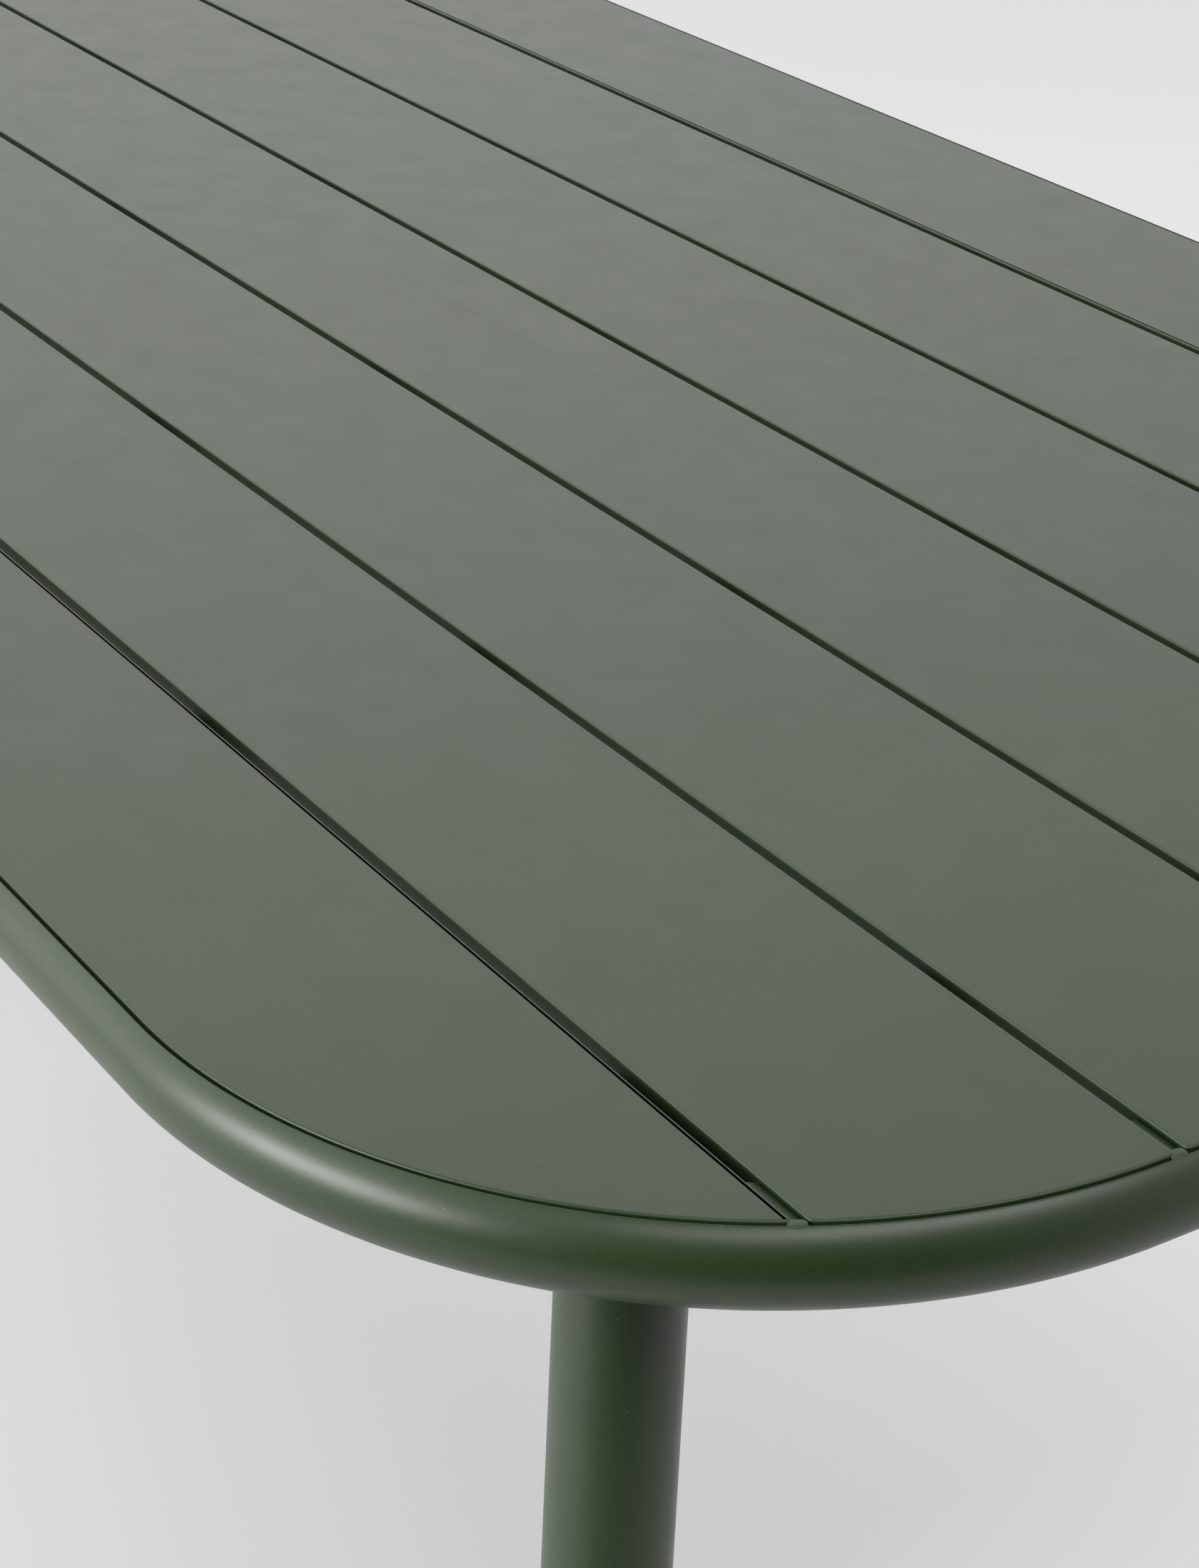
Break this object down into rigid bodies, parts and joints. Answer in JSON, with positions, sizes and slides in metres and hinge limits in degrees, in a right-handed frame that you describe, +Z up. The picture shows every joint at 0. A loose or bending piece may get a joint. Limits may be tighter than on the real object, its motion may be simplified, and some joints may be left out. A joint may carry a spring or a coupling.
{
  "type": "backless bench",
  "caption": "Backless bench: flush flat metal slats inside a rounded tube rim, on splayed tubular legs with plastic glides.",
  "frame": {"origin": "on the floor under the middle of the seat, at the bottom centre of the overall box", "axes": "+X along the bench's length, +Y across it, +Z up out of the seat"},
  "size_m": [1.3664, 0.4958, 0.45],
  "materials": {
    "powder_coat": "satin to matt fine-textured powder coat, dark grey-green",
    "glide_plastic": "matt black moulded plastic"
  },
  "bodies": {
    "root": {"corner_plate_nx_ny": "powder_coat", "corner_plate_nx_py": "powder_coat", "corner_plate_px_ny": "powder_coat", "corner_plate_px_py": "powder_coat", "cross_tube_1": "powder_coat", "cross_tube_2": "powder_coat", "cross_tube_3": "powder_coat", "cross_tube_4": "powder_coat", "cross_tube_5": "powder_coat", "cross_tube_6": "powder_coat", "cross_tube_7": "powder_coat", "cross_tube_8": "powder_coat", "foot_nx_ny": "glide_plastic", "foot_nx_py": "glide_plastic", "foot_px_ny": "glide_plastic", "foot_px_py": "glide_plastic", "leg_nx_ny": "powder_coat", "leg_nx_py": "powder_coat", "leg_px_ny": "powder_coat", "leg_px_py": "powder_coat", "rim_half_nx": "powder_coat", "rim_half_px": "powder_coat", "slat_1": "powder_coat", "slat_2": "powder_coat", "slat_3": "powder_coat", "slat_4": "powder_coat", "slat_5": "powder_coat", "slat_6": "powder_coat", "slat_7": "powder_coat"}
  },
  "joints": []
}
